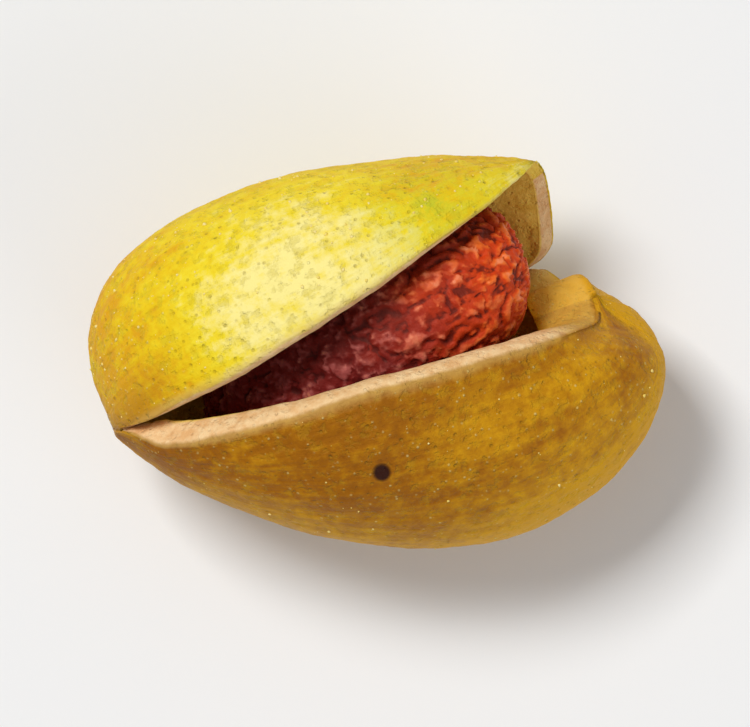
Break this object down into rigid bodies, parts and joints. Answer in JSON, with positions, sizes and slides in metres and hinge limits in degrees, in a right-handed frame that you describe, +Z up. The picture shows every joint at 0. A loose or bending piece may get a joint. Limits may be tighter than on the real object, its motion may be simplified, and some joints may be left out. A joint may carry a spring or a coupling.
{
  "type": "pistachio in shell",
  "caption": "Saffron-roasted pistachio nut: a hard shell split along one side and gaping at its tip, with a loose kernel in its red skin inside.",
  "frame": {"origin": "centre of the footprint's box, on the surface that the nut rests on", "axes": "+X along the nut from the blunt stem end to the split tips; +Z up, out of the long split side; +Y towards the narrow valve"},
  "size_m": [0.0194, 0.0154, 0.0122],
  "materials": {
    "saffron_shell": "hard woody shell stained lemon to saffron yellow, satin, finely pitted and faintly ribbed along its length, cream at the cut lips",
    "kernel_skin": "thin papery skin, finely wrinkled along its length, orange-brown to crimson, satin"
  },
  "bodies": {
    "root": {"shell": "saffron_shell", "kernel": "kernel_skin"}
  },
  "joints": []
}
